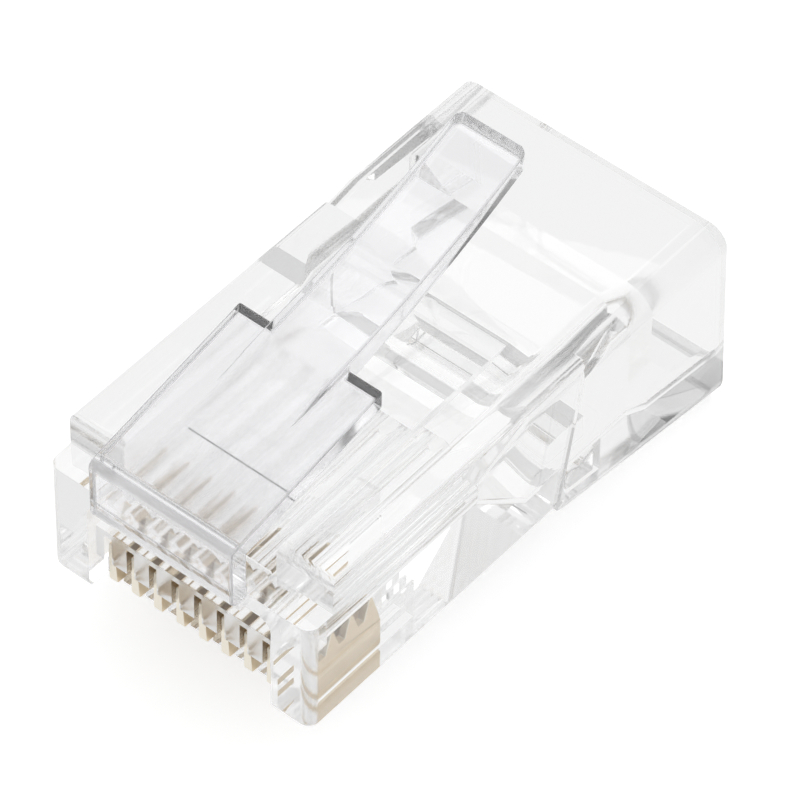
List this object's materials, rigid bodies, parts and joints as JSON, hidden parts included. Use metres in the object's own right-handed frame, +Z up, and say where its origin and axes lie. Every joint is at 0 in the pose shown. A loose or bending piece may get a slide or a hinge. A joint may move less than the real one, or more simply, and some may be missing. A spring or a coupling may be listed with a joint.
{
  "type": "rj45 modular plug",
  "caption": "Clear crimp-on modular plug with a sprung latch, insulation-piercing contact blades, a fold-in strain relief bar and an open cable mouth.",
  "frame": {"origin": "under the middle of the plug's length and width, level with its lowest edge (the cable end's underside)", "axes": "+Y from the latch root towards the cable end, +X across the plug, +Z up towards the latch side"},
  "size_m": [0.012, 0.0234, 0.0146],
  "materials": {
    "clear_polycarbonate": "water-clear, polished mould surface",
    "gold_plated_contact": "gold-plated phosphor bronze, satin"
  },
  "bodies": {
    "housing": {"housing": "clear_polycarbonate"},
    "latch_tab": {"latch_tab": "clear_polycarbonate"},
    "strain_relief_bar": {"strain_relief_bar": "clear_polycarbonate"},
    "contact_1": {"contact_1": "gold_plated_contact"},
    "contact_2": {"contact_2": "gold_plated_contact"},
    "contact_3": {"contact_3": "gold_plated_contact"},
    "contact_4": {"contact_4": "gold_plated_contact"},
    "contact_5": {"contact_5": "gold_plated_contact"},
    "contact_6": {"contact_6": "gold_plated_contact"},
    "contact_7": {"contact_7": "gold_plated_contact"},
    "contact_8": {"contact_8": "gold_plated_contact"}
  },
  "joints": [
    {"name": "latch_hinge", "type": "hinge", "parent": "housing", "child": "latch_tab", "pos_m": [0, -0.01129, 0.00765], "axis": [-1, 0, 0], "range_deg": [0, 14], "stiffness_Nm_per_rad": 0.3},
    {"name": "strain_relief_hinge", "type": "hinge", "parent": "housing", "child": "strain_relief_bar", "pos_m": [0, 0.00421, 0.00151], "axis": [1, 0, 0], "range_deg": [0, 35]},
    {"name": "contact_1_crimp_slide", "type": "slide", "parent": "housing", "child": "contact_1", "axis": [0, 0, 1], "range_m": [0, 0.00045]},
    {"name": "contact_2_crimp_slide", "type": "slide", "parent": "housing", "child": "contact_2", "axis": [0, 0, 1], "range_m": [0, 0.00045]},
    {"name": "contact_3_crimp_slide", "type": "slide", "parent": "housing", "child": "contact_3", "axis": [0, 0, 1], "range_m": [0, 0.00045]},
    {"name": "contact_4_crimp_slide", "type": "slide", "parent": "housing", "child": "contact_4", "axis": [0, 0, 1], "range_m": [0, 0.00045]},
    {"name": "contact_5_crimp_slide", "type": "slide", "parent": "housing", "child": "contact_5", "axis": [0, 0, 1], "range_m": [0, 0.00045]},
    {"name": "contact_6_crimp_slide", "type": "slide", "parent": "housing", "child": "contact_6", "axis": [0, 0, 1], "range_m": [0, 0.00045]},
    {"name": "contact_7_crimp_slide", "type": "slide", "parent": "housing", "child": "contact_7", "axis": [0, 0, 1], "range_m": [0, 0.00045]},
    {"name": "contact_8_crimp_slide", "type": "slide", "parent": "housing", "child": "contact_8", "axis": [0, 0, 1], "range_m": [0, 0.00045]}
  ]
}
